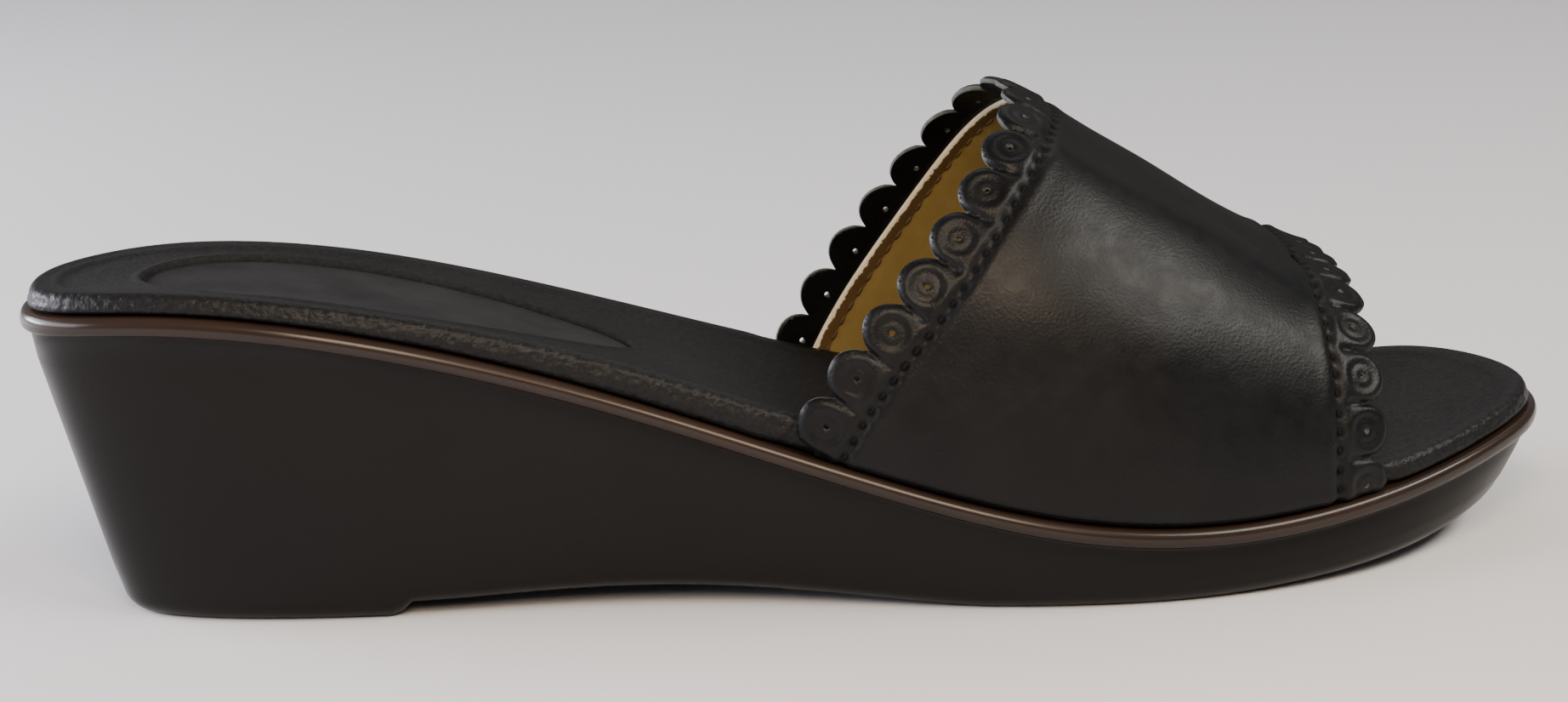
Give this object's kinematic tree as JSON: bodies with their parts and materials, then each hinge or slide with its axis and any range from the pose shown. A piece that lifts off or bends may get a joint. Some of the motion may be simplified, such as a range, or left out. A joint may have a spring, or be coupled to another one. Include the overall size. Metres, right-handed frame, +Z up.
{
  "type": "wedge mule",
  "caption": "Women's backless slip-on shoe for the right foot: moulded wedge sole, padded insole with a smooth heel patch, and one wide leather band with scalloped edges",
  "frame": {"origin": "on the floor, under the middle of the shoe's box", "axes": "+X from heel to toe, +Y to the wearer's left, which is the inner side of this right shoe, +Z up"},
  "size_m": [0.2466, 0.0852, 0.0764],
  "materials": {
    "sole": "glossy black-brown moulded polyurethane",
    "insole": "black fine-grained cover, matt",
    "heel_patch": "smooth satin dark grey sheet",
    "upper": "smooth black leather, soft sheen, tan lining inside"
  },
  "bodies": {
    "root": {"sole": "sole", "insole": "insole", "heel_patch": "heel_patch", "upper": "upper"}
  },
  "joints": []
}
